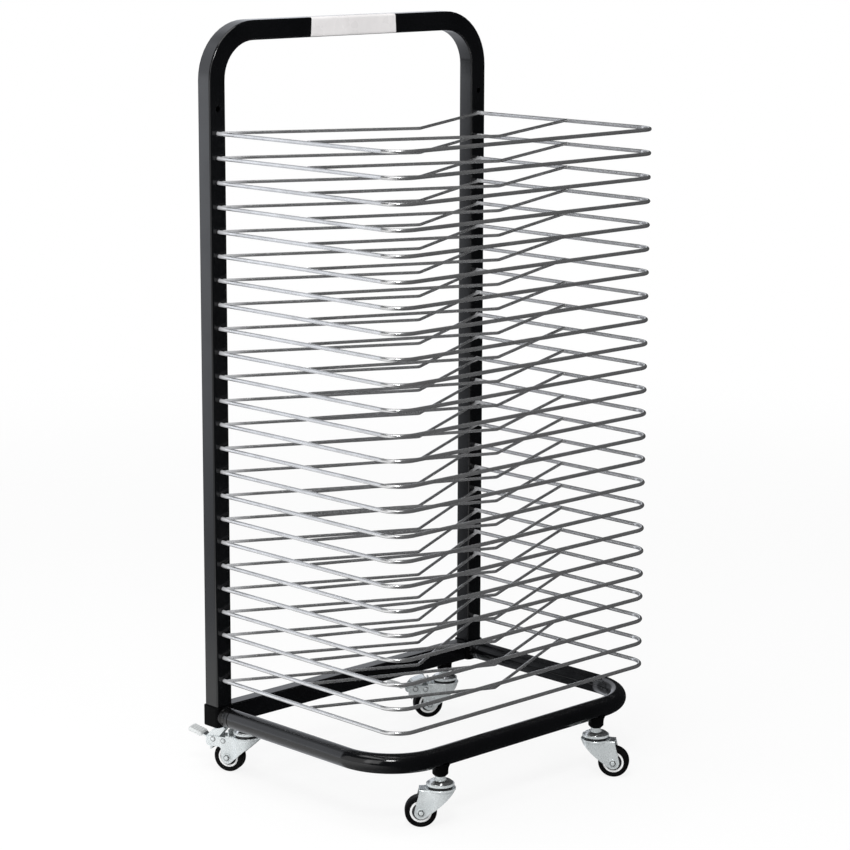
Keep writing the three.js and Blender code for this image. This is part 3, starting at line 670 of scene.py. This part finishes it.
def strip(corners, bends, half_width, half_thickness, steps=40, taper=0.0, grooves=0):
    """A rounded strip carried along a line in X and Z, closed at both ends.

    Its width falls off as a quarter round over the taper at its far end, and its thickness dips by
    (1 - cos) / 2 at each groove.
    """
    stations, headings = bent_line([(x, 0, z) for x, z in corners], bends, [8] * len(bends))
    distance = np.concatenate([[0], np.cumsum(np.linalg.norm(np.diff(stations, axis=0), axis=1))])
    along = np.linspace(0, distance[-1], steps)
    stations, headings = (
        np.stack([np.interp(along, distance, values[:, k]) for k in range(3)], -1) for values in (stations, headings)
    )
    headings /= np.linalg.norm(headings, axis=1)[:, None]
    left = distance[-1] - along
    wide = np.sqrt(np.clip(1 - (1 - np.clip(left / taper, 0, 1)) ** 2, 0, 1)) if taper else np.ones(steps)
    ends = np.sqrt(np.clip(np.minimum(along, left) / half_thickness, 0.06, 1))
    dips = 0.5 - 0.5 * np.cos(2 * np.pi * grooves * np.clip(along / (distance[-1] * 0.8), 0, 1))
    widths = np.stack([0.5 + 0.5 * wide, ends * (1 - 0.16 * dips)], -1)
    profile = rounded_rectangle(half_width, half_thickness, half_thickness * 0.75, 4)
    grid = carried(profile, stations, headings, (0, 1, 0), widths)
    caps = [np.stack([row, np.broadcast_to(row.mean(0), row.shape)]) for row in (grid[0], grid[-1])]
    return gathered([skin(grid, wrap_columns=True)] + [skin(cap, wrap_columns=True) for cap in caps])


def fork_plan(inset):
    """Half the fork's plan, from the front to the rear, with its outward normals.

    A round (R cos a, R sin a), a hollow sweep about a centre outside the sheet, c - S (cos a, sin a), and a straight.
    """
    radius, half, sweep = FORK_ROUND - inset, FORK_HALF_WIDTH - inset, FORK_SWEEP + inset
    a = np.linspace(np.pi, FORK_LEAVE, 16)
    rounded = np.stack([np.cos(a), np.sin(a)], -1)
    b = np.linspace(FORK_LEAVE, np.pi / 2, 8)
    sweeping = np.stack([np.cos(b), np.sin(b)], -1)
    run = (radius * math.sin(FORK_LEAVE) - half) / math.cos(FORK_LEAVE)
    centre = (radius * math.cos(FORK_LEAVE) + run * math.sin(FORK_LEAVE)
              + sweep * math.tan(np.pi / 4 - FORK_LEAVE / 2), half + sweep)
    swept = centre - sweep * sweeping
    straight = np.linspace(swept[-1, 0], FORK_REAR, 7)[1:]
    points = np.concatenate([radius * rounded, swept, np.stack([straight, np.full(6, half)], -1)])
    normals = np.concatenate([rounded, sweeping, [(0.0, 1.0)] * 6])
    return points, normals, len(rounded) + 5


def fork_half(inset, rows=6):
    """Half the fork's sheet, in columns from the king pin hole over the bent edge and down to the trimmed edge.

    The plate runs in to the hole; the edge is a quarter round; the wall goes straight to the trim, which is
    a slanted line in front and then the round tip about the axle.
    """
    plan, normals, bends = fork_plan(inset)
    count = len(plan)
    edge = FORK_EDGE - inset
    top = FORK_TOP - inset
    reach, drop = TRAIL + FORK_ROUND, SKIRT_BOTTOM - WHEEL_RADIUS
    slope = math.atan2(drop, reach) + math.asin(FORK_TIP / math.hypot(reach, drop))
    b = np.linspace(-math.pi / 2 - slope, 0, count - bends + 1)
    trim = np.column_stack([plan, SKIRT_BOTTOM - (plan[:, 0] + FORK_ROUND) * math.tan(slope)])
    trim[bends - 1:, 0] = TRAIL + FORK_TIP * np.cos(b)
    trim[bends - 1:, 2] = WHEEL_RADIUS + FORK_TIP * np.sin(b)
    hole = np.linspace(np.pi, 0, bends)
    inner = np.zeros((count, 2))
    inner[:bends] = 3.8 * np.stack([np.cos(hole), np.sin(hole)], -1)
    inner[bends - 1:, 0] = np.linspace(3.8, FORK_REAR, count - bends + 1)
    inner[bends - 1:, 1] = 0
    brink = plan - normals * edge
    columns = [np.column_stack([inner + (brink - inner) * s, np.full(count, top)]) for s in np.linspace(0, 1, 5)]
    for t in np.linspace(0, np.pi / 2, 7)[1:]:
        z = top - edge + edge * math.cos(t)
        columns.append(np.column_stack([brink + normals * edge * math.sin(t), np.full(count, z)]))
    start = columns[-1]
    columns += [start + (trim - start) * s for s in np.linspace(0, 1, rows + 1)[1:]]
    return np.stack(columns, 1), bends


def brake_lug(side_y):
    """Rear end of a braked cheek: straight lines from its top edge down to its lower edge."""
    a = np.linspace(0, np.pi / 2, 6)[1:]
    top, rear = FORK_TOP - FORK_EDGE, LUG_REAR - LUG_CORNER
    upper = [(FORK_REAR, top), (29, top), (32, top), (34, top), (40, top), (rear, top)]
    upper += list(zip(rear + LUG_CORNER * np.sin(a), top - LUG_CORNER * (1 - np.cos(a))))
    tip = TRAIL + FORK_TIP
    lower = [(tip, WHEEL_RADIUS), (tip, 27), (tip + 0.5, 31.6), (tip + 2.4, LUG_BOTTOM), (40, LUG_BOTTOM), (rear, LUG_BOTTOM)]
    lower += list(zip(rear + LUG_CORNER * np.sin(a), LUG_BOTTOM + LUG_CORNER * (1 - np.cos(a))))
    upper, lower = np.array(upper), np.array(lower)
    s = np.linspace(0, 1, 7)[None, :, None]
    flat = upper[:, None] + (lower - upper)[:, None] * s
    return np.stack([flat[..., 0], np.full(flat.shape[:2], side_y), flat[..., 1]], -1)


def fork(braked):
    """Pressed fork: outer and inner sheets with strips along their free edges, mirrored.

    A pressed ring runs round its top; a braked fork also has its lugs, and a lip bent up behind the raceway.
    """
    (outer, bends), (inner, _) = fork_half(0), fork_half(FORK_SHEET)
    wall = 10 if braked else outer.shape[1] - 1
    half = [
        skin(outer), skin(inner), skin([outer[:, -1], inner[:, -1]]),
        skin([outer[-1, :wall + 1], inner[-1, :wall + 1]]), skin([outer[:bends, 0], inner[:bends, 0]]),
    ]
    if braked:
        far, near = brake_lug(FORK_HALF_WIDTH), brake_lug(FORK_HALF_WIDTH - FORK_SHEET)
        half += [skin(far), skin(near)]
        half += [skin([far[:, 0], near[:, 0]]), skin([far[:, -1], near[:, -1]]), skin([far[-1], near[-1]])]
    ring = turned(softened([(15.2, 49.3), (15.8, 50.1), (18.9, 50.1), (19.4, 49.3), (19.2, 47.4), (17.4, 46.9)], 0.4), 64)
    lip = [strip([(18.8, 48.75), (22.3, 48.75), (22.9, 57.4)], [1.6], 8.8, 0.75)] if braked else []
    return half + [moved(surface, flip=True) for surface in half] + [ring] + lip


def ball_race():
    """Ring of the ball race in the gap between the raceway and the fork, turned about the swivel axis; it is painted
    near black for the shade in the gap.
    """
    return [turned(softened([(9, 49.1), (14.8, 49.1), (14.8, 52.7), (9, 52.7), (9, 49.1)], 0.6), 48)]


def across_at(surface, x, z):
    points, quads = surface
    return points + (x, 0, z), quads


def axle():
    """Bolt through the wheel, and a washer and a round domed end on each cheek."""
    inner = FORK_HALF_WIDTH + 0.3
    end = inner + 3.2
    surfaces = [turned([(0, -inner), (3, -inner), (3, inner), (0, inner)], 24, across=True)]
    for side in (-1, 1):
        washer = softened([(0, inner), (5.4, inner), (5.4, inner + 0.6), (4.9, inner + 0.9), (0, inner + 0.9)], 0.2)
        tip = softened([(0, end - 1.6), (2.7, end - 1.6), (2.7, end - 0.5), (1.7, end), (0, end)], 0.3)
        for profile, sides in ((washer, 40), (tip, 28)):
            surfaces.append(turned([(r, side * y) for r, y in profile], sides, across=True))
    return [across_at(surface, TRAIL, WHEEL_RADIUS) for surface in surfaces]


def axle_nuts():
    """Hexagon on each end of the bolt: a six-sided turn with a chamfered face."""
    inner = FORK_HALF_WIDTH + 1.1
    nut = [(0, inner), (4.3, inner), (4.3, inner + 1.0), (3.7, inner + 1.5), (0, inner + 1.5)]
    surfaces = [turned([(r, side * y) for r, y in nut], 6, across=True) for side in (-1, 1)]
    return [across_at(surface, TRAIL, WHEEL_RADIUS) for surface in surfaces]


def mirrored_profile(half):
    """A closed wheel profile from the points on its +Y side."""
    half = np.asarray(half, float)
    return np.concatenate([half, half[::-1] * (1, -1), half[:1]])


def hub():
    """Pale rim with a thin web and a boss, turned about the axle."""
    half = softened([(3.4, 8.5), (5.8, 8.5), (6.4, 5.0), (10.4, 3.4), (11.2, 6.6), (13.7, 6.6), (13.8, 0)], 0.45)
    return [across_at(turned(mirrored_profile(half), 64, across=True), TRAIL, WHEEL_RADIUS)]


def bearing_cap(side):
    """Dished cap in the recess of the hub, painted near black for the shade in the recess."""
    profile = softened([(6.45, 5.15), (10.5, 3.55), (10.95, 5.0), (9.6, 4.6), (6.5, 6.2), (6.45, 5.15)], 0.2)
    return across_at(turned([(r, side * y) for r, y in profile], 48, across=True), TRAIL, WHEEL_RADIUS)


def tyre():
    """Rubber ring with a flat tread, tight shoulders and a raised line round its wall."""
    half = np.concatenate([
        [(14.1, 0)], softened([(14.1, 6.5), (14.5, 6.9), (16.6, 7.1), (16.8, 7.4), (17.4, 7.4), (17.6, 7.15),
                               (18.5, 7.1), (19.8, 6.2), (20.0, 4.5), (20.0, 0)], 0.2),
    ])
    profile = np.concatenate([half, half[::-1][1:] * (1, -1)])
    return [across_at(turned(profile, 72, across=True), TRAIL, WHEEL_RADIUS)]


def brake_lever():
    """Pressed lever: two side plates with a web over them, an arm to the tread, a shoe to the tyre and a boss."""
    x, z = BRAKE_PIN
    side = softened([(51.2, 38.5), (53.6, 40), (55, 44.5), (50, 51), (46.5, 54.3), (40, 56.8), (29.5, 59.4), (27, 58.2),
                     (36, 47), (37.5, 42), (40, 38), (44, 36.6), (49, 37), (51.2, 38.5)], 1.4)[:-1]
    boss = softened([(2.9, -8.6), (5.0, -8.6), (5.0, 8.6), (2.9, 8.6), (2.9, -8.6)], 0.5)
    return [
        plate(side, 7.1, 8.6), plate(side, -8.6, -7.1),
        strip([(48.5, 51.8), (46.2, 53.8), (40, 56.1), (29.2, 58.7)], [3, 6], 8.2, 0.75),
        strip([(50, 44.6), (57, 45.2), (66, 48.3)], [8], 7.0, 0.9),
        strip([(x + 5, z - 15), (x + 1.4, z - 4)], [], 7.4, 2.0, steps=16),
        across_at(turned(boss, 32, across=True), x, z),
    ]


def pedal_tread():
    """Moulded tread on the lever's arm, ribbed across, with a round end."""
    x, z = BRAKE_PIN
    return [strip([(x + 16.5, z + 3.2), (x + 37, z + 10.4)], [], 9.8, 2.8, steps=64, taper=4.5, grooves=5)]


def rivet(x, z, side, radius, height):
    """Domed rivet head on a cheek: radius R cos b to a power, at a height h sin b."""
    b = np.linspace(0, np.pi / 2, 6)[:-1]
    y = FORK_HALF_WIDTH - 0.1
    dome = [(radius * math.cos(t) ** 0.7, y + height * math.sin(t)) for t in b]
    profile = [(0, y - 0.4)] + dome + [(0, y + height)]
    return across_at(turned([(r, side * h) for r, h in profile], 28, across=True), x, z)


# Label

def label_wrap():
    """Bare label: a thin strip that follows the front of the handle bar and turns over its top corner.

    The strip's profile is the tube's outline moved out by the film's thickness, carried along X.
    """
    flat = TUBE_HALF - TUBE_CORNER
    a = np.linspace(0, np.pi / 2, 7)
    surfaces = []
    faces = []
    for lift in (0.08, 0.38):
        r = TUBE_CORNER + lift
        lower = [(TUBE_HALF - flat - r * math.cos(t), HANDLE_HEIGHT - flat - r * math.sin(t)) for t in (0.7, 0.35)]
        front = [(-lift, HANDLE_HEIGHT + z) for z in np.linspace(-flat, flat, 8)]
        corner = [(TUBE_CORNER - r * math.cos(t), HANDLE_HEIGHT + flat + r * math.sin(t)) for t in a[1:]]
        top = [(TUBE_CORNER + d, HANDLE_HEIGHT + TUBE_HALF + lift) for d in (2.5, 5.0)]
        profile = np.array(lower + front + corner + top)
        x = np.linspace(-73.5, 73.5, 40)[:, None]
        slant = (profile[:, 1] - HANDLE_HEIGHT)[None] * 0.06
        grid = np.stack([x + slant * np.sign(-x), np.broadcast_to(profile[:, 0], (40, len(profile))),
                         np.broadcast_to(profile[:, 1], (40, len(profile)))], -1)
        faces.append(grid)
        surfaces.append(skin(grid))
    outer, inner = faces[1], faces[0]
    surfaces += [skin([outer[0], inner[0]]), skin([outer[-1], inner[-1]])]
    surfaces += [skin([outer[:, 0], inner[:, 0]]), skin([outer[:, -1], inner[:, -1]])]
    return surfaces


def dress_frame():
    piece("frame_tube", "frame", black_coat, back_frame(), ["back_frame"])
    piece("base_tube", "frame", black_coat, base_loop(), ["base_loop"])
    piece("rear_bar", "frame", black_coat, cross_bar(), ["rear_cross_bar"])
    for side, x in (("left", -HALF_SPACING), ("right", HALF_SPACING)):
        block, ring = ([moved(surface, shift=(x, 0, 0)) for surface in made()] for made in (corner_block, collar))
        piece(f"foot_block_{side}", "frame", black_moulding, block, [f"corner_block_{side}"])
        piece(f"collar_{side}", "frame", glossy_moulding, ring)
    piece("handle_label", "frame", label_film, label_wrap())


def dress_shelves():
    for index in range(SHELF_COUNT):
        name = f"shelf_{index + 1:02d}"
        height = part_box(name)[0].z / MM + WIRE
        piece(f"wire_{name}", name, silver_wire, wire_shelf(height), [name])


def middle(node):
    """Middle of a solid's box, in the rack's own places."""
    low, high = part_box(node)
    return np.array((low + high) / 2) / MM - (0, UPRIGHT_FRONT, 0)


def dress_caster(corner):
    """Pieces of one caster, from the places of its swivel axis and its axle."""
    node = f"caster_{corner}"
    axis, centre = middle(f"{node}_stem"), middle(f"{node}_tyre")
    heading = math.atan2(centre[1] - axis[1], centre[0] - axis[0])
    shift = (axis[0], axis[1], 0)
    rear = corner.startswith("rear")
    still = lambda surfaces: [moved(surface, shift=shift) for surface in surfaces]
    trailing = lambda surfaces: [moved(surface, heading, shift) for surface in surfaces]
    swivel, wheel = f"swivel_{corner}", f"wheel_{corner}"
    piece(f"spacer_{corner}", "frame", black_moulding, still(saddle(rear)), [f"{node}_saddle"])
    piece(f"raceway_{corner}", "frame", polished_zinc, still(stem()), [f"{node}_stem"])
    piece(f"rim_{corner}", "frame", bright_zinc, still(raceway_rim()))
    piece(f"neck_{corner}", "frame", bright_zinc, still(neck()))
    piece(f"fork_{corner}", swivel, bright_zinc, trailing(fork(rear)), [f"{node}_fork"], crease=32)
    # painted shade: the ball race ring is near black for the shade in the gap
    piece(f"ball_race_{corner}", swivel, shade_black, trailing(ball_race()))
    piece(f"bolt_{corner}", swivel, bright_zinc, trailing(axle()), [f"{node}_axle"])
    piece(f"nuts_{corner}", swivel, steel, trailing(axle_nuts()))
    piece(f"hub_{corner}", wheel, pale_hub, trailing(hub()), [f"{node}_hub"])
    # painted shade: near-black caps fill the shaded recesses of the hub
    caps = [bearing_cap(side) for side in (-1, 1)]
    piece(f"shaded_hub_caps_{corner}", wheel, shade_black, trailing(caps))
    piece(f"tyre_{corner}", wheel, tyre_rubber, trailing(tyre()), [f"{node}_tyre"], crease=50)
    if rear:
        brake = f"brake_{corner}"
        piece(f"lever_{corner}", brake, bright_zinc, trailing(brake_lever()), [f"brake_pedal_{corner}"])
        piece(f"tread_{corner}", brake, pale_pedal, trailing(pedal_tread()))
        # painted shade: the seats are darker steel rings under the rivet heads, standing in for the shade round each
        # head
        for part, shine, radius, height in (("heads", bright_zinc, 2.9, 1.7), ("shade_seats", steel, 3.8, 0.8)):
            rivets = [rivet(x, z, side, radius, height) for x, z in (BRAKE_PIN, (29.5, 42.0)) for side in (-1, 1)]
            piece(f"rivet_{part}_{corner}", swivel, shine, trailing(rivets))


# Stage

SHEET_SHADES = (
    (-0.30, 0.55), (-0.262, 0.33), (-0.228, 0.33), (-0.19, 0.70), (-0.10, 0.95), (0.0, 0.95), (0.12, 0.70), (0.60, 0.65),
    (0.67, 0.25),
)


def floor():
    """A pale round floor that fades out at its edge; polished things see only the pool of light on its left.

    The pool is a smooth step of the distance to its middle.
    """
    mesh = bpy.data.meshes.new("floor")
    ring = np.column_stack([circle(3.2, 96), np.zeros(96)])
    mesh.from_pydata(ring.tolist(), [], [list(range(96))])
    made = bpy.data.objects.new("floor", mesh)
    bpy.context.scene.collection.objects.link(made)
    material = bpy.data.materials.new("pale_floor")
    material.use_nodes = True
    tree = material.node_tree
    tree.nodes.remove(tree.nodes["Principled BSDF"])
    place = put(tree, "ShaderNodeTexCoord").outputs["Object"]
    distance = put(tree, "ShaderNodeVectorMath", {0: place}, operation="LENGTH").outputs["Value"]
    fade = put(tree, "ShaderNodeMapRange", {"Value": distance, "From Min": 1.2, "From Max": 3.0},
               interpolation_type="SMOOTHSTEP").outputs["Result"]
    rays = put(tree, "ShaderNodeLightPath").outputs
    from_pool = put(tree, "ShaderNodeVectorMath", {0: place, 1: (-0.75, 0.15, 0)}, operation="DISTANCE").outputs["Value"]
    outside = put(tree, "ShaderNodeMapRange", {"Value": from_pool, "From Min": 0.35, "From Max": 0.68},
                  interpolation_type="SMOOTHSTEP").outputs["Result"]
    unseen = put(tree, "ShaderNodeMath", {0: outside, 1: rays["Is Glossy Ray"]}, operation="MULTIPLY").outputs[0]
    past = put(tree, "ShaderNodeMath", {0: fade, 1: unseen}, operation="MAXIMUM").outputs[0]
    pale = put(tree, "ShaderNodeBsdfDiffuse", {"Color": (0.93, 0.93, 0.93, 1)}).outputs[0]
    white = put(tree, "ShaderNodeEmission", {"Color": (1, 1, 1, 1), "Strength": 1.0}).outputs[0]
    shown = put(tree, "ShaderNodeMath", {0: rays["Is Camera Ray"], 1: 0.85}, operation="MULTIPLY").outputs[0]
    lit = put(tree, "ShaderNodeMixShader", {0: shown, 1: pale, 2: white}).outputs[0]
    clear = put(tree, "ShaderNodeBsdfTransparent").outputs[0]
    mixed = put(tree, "ShaderNodeMixShader", {0: past, 1: lit, 2: clear}).outputs[0]
    tree.links.new(mixed, tree.nodes["Material Output"].inputs["Surface"])
    mesh.materials.append(material)


def backdrop():
    """White to the camera; polished things see a dark studio with a pale sheet hung up behind the rack.

    The sheet is round about +Y and dull in its middle, by smooth steps of a ray's Y; low down it ends on the left at an
    upright edge, a step of the cosine to that edge's normal. A ramp of Z gives its shades from the floor up, and its
    right half is duller.
    """
    world = bpy.data.worlds.new("backdrop")
    bpy.context.scene.world = world
    world.use_nodes = True
    world.cycles.sampling_method = "NONE"
    tree = world.node_tree
    ground = tree.nodes["Background"]
    towards = put(tree, "ShaderNodeTexCoord").outputs["Generated"]
    axes = put(tree, "ShaderNodeSeparateXYZ", {"Vector": towards}).outputs

    def step(value, start, end, least, most):
        return put(tree, "ShaderNodeMapRange", {
            "Value": value, "From Min": start, "From Max": end, "To Min": least, "To Max": most,
        }, interpolation_type="SMOOTHSTEP").outputs["Result"]

    def times(first, second):
        return put(tree, "ShaderNodeMath", {0: first, 1: second}, operation="MULTIPLY").outputs[0]

    behind = times(step(axes["Y"], 0.674, 0.690, 0.0, 1.0), step(axes["Y"], 0.80, 0.88, 1.0, 0.2))
    across = put(tree, "ShaderNodeVectorMath", {0: towards, 1: (0.717, 0.697, 0)}, operation="DOT_PRODUCT")
    edge = step(across.outputs["Value"], -0.012, 0.012, 0.0, 1.0)
    upper = step(axes["Z"], -0.085, -0.06, 0.0, 1.0)
    hung = put(tree, "ShaderNodeMath", {0: edge, 1: upper}, operation="MAXIMUM").outputs[0]
    right = step(axes["X"], 0.1, 0.5, 2.0, 1.1)
    place = put(tree, "ShaderNodeMapRange", {"Value": axes["Z"], "From Min": -0.4, "From Max": 0.8}).outputs["Result"]
    ramp = put(tree, "ShaderNodeValToRGB", {"Fac": place})
    shades = ramp.color_ramp.elements
    for z, shade in SHEET_SHADES[1:-1]:
        shades.new((z + 0.4) / 1.2)
    for element, (z, shade) in zip(shades, SHEET_SHADES):
        element.position = (z + 0.4) / 1.2
        element.color = (shade, shade, shade, 1)
    sheet = times(times(behind, hung), times(right, ramp.outputs["Color"]))
    seen = put(tree, "ShaderNodeMath", {0: sheet, 1: 0.03}).outputs[0]
    rays = put(tree, "ShaderNodeLightPath").outputs
    soft = put(tree, "ShaderNodeMix", {0: rays["Is Glossy Ray"], 2: 0.62, 3: seen}, data_type="FLOAT").outputs[0]
    strength = put(tree, "ShaderNodeMix", {0: rays["Is Camera Ray"], 2: soft, 3: 1.0}, data_type="FLOAT").outputs[0]
    cool = put(tree, "ShaderNodeMix", {
        0: rays["Is Glossy Ray"], 6: (1, 1, 1, 1), 7: (0.955, 0.985, 1.05, 1),
    }, data_type="RGBA").outputs[2]
    tree.links.new(strength, ground.inputs["Strength"])
    tree.links.new(cool, ground.inputs["Color"])


def softbox(name, place, aim, width, height, power):
    light = bpy.data.lights.new(name, "AREA")
    light.shape, light.size, light.size_y, light.energy = "RECTANGLE", width, height, power
    made = bpy.data.objects.new(name, light)
    made.location = place
    made.rotation_euler = (Vector(aim) - Vector(place)).to_track_quat("-Z", "Y").to_euler()
    bpy.context.scene.collection.objects.link(made)


def camera():
    """The photograph's view: a long lens from the front left, a little above the rack's middle."""
    lens = bpy.data.cameras.new("camera")
    lens.sensor_width, lens.lens = 36.0, 115.94
    lens.clip_start, lens.clip_end = 0.05, 60
    made = bpy.data.objects.new("camera", lens)
    azimuth, elevation, roll = math.radians(-44.22), math.radians(11.36), math.radians(0.20)
    back = Vector((math.sin(azimuth) * math.cos(elevation), -math.cos(azimuth) * math.cos(elevation), math.sin(elevation)))
    turn = (-back).to_track_quat("-Z", "Y").to_matrix() @ Matrix.Rotation(roll, 3, "Z")
    made.matrix_world = Matrix.Translation((-2.4024, -2.6016 + UPRIGHT_FRONT * MM, 1.1516)) @ turn.to_4x4()
    bpy.context.scene.collection.objects.link(made)
    bpy.context.scene.camera = made


dress_frame()
dress_shelves()
for corner in ("front_left", "front_right", "rear_left", "rear_right"):
    dress_caster(corner)
floor()
backdrop()
softbox("overhead", (-0.6, 0.1, 2.9), (0, 0, 0.4), 1.8, 1.6, 22)
softbox("key", (-1.55, -1.45, 2.35), (0, 0, 0.45), 0.55, 0.55, 26)
softbox("left_window", (-2.6, -0.7, 1.5), (0, 0, 0.5), 1.2, 1.8, 12)
softbox("low_card", (-1.1, 0.17, 0.42), (0, 0.17, 0.42), 0.96, 0.94, 2.4)
camera()
bpy.context.scene.view_settings.view_transform = "Standard"
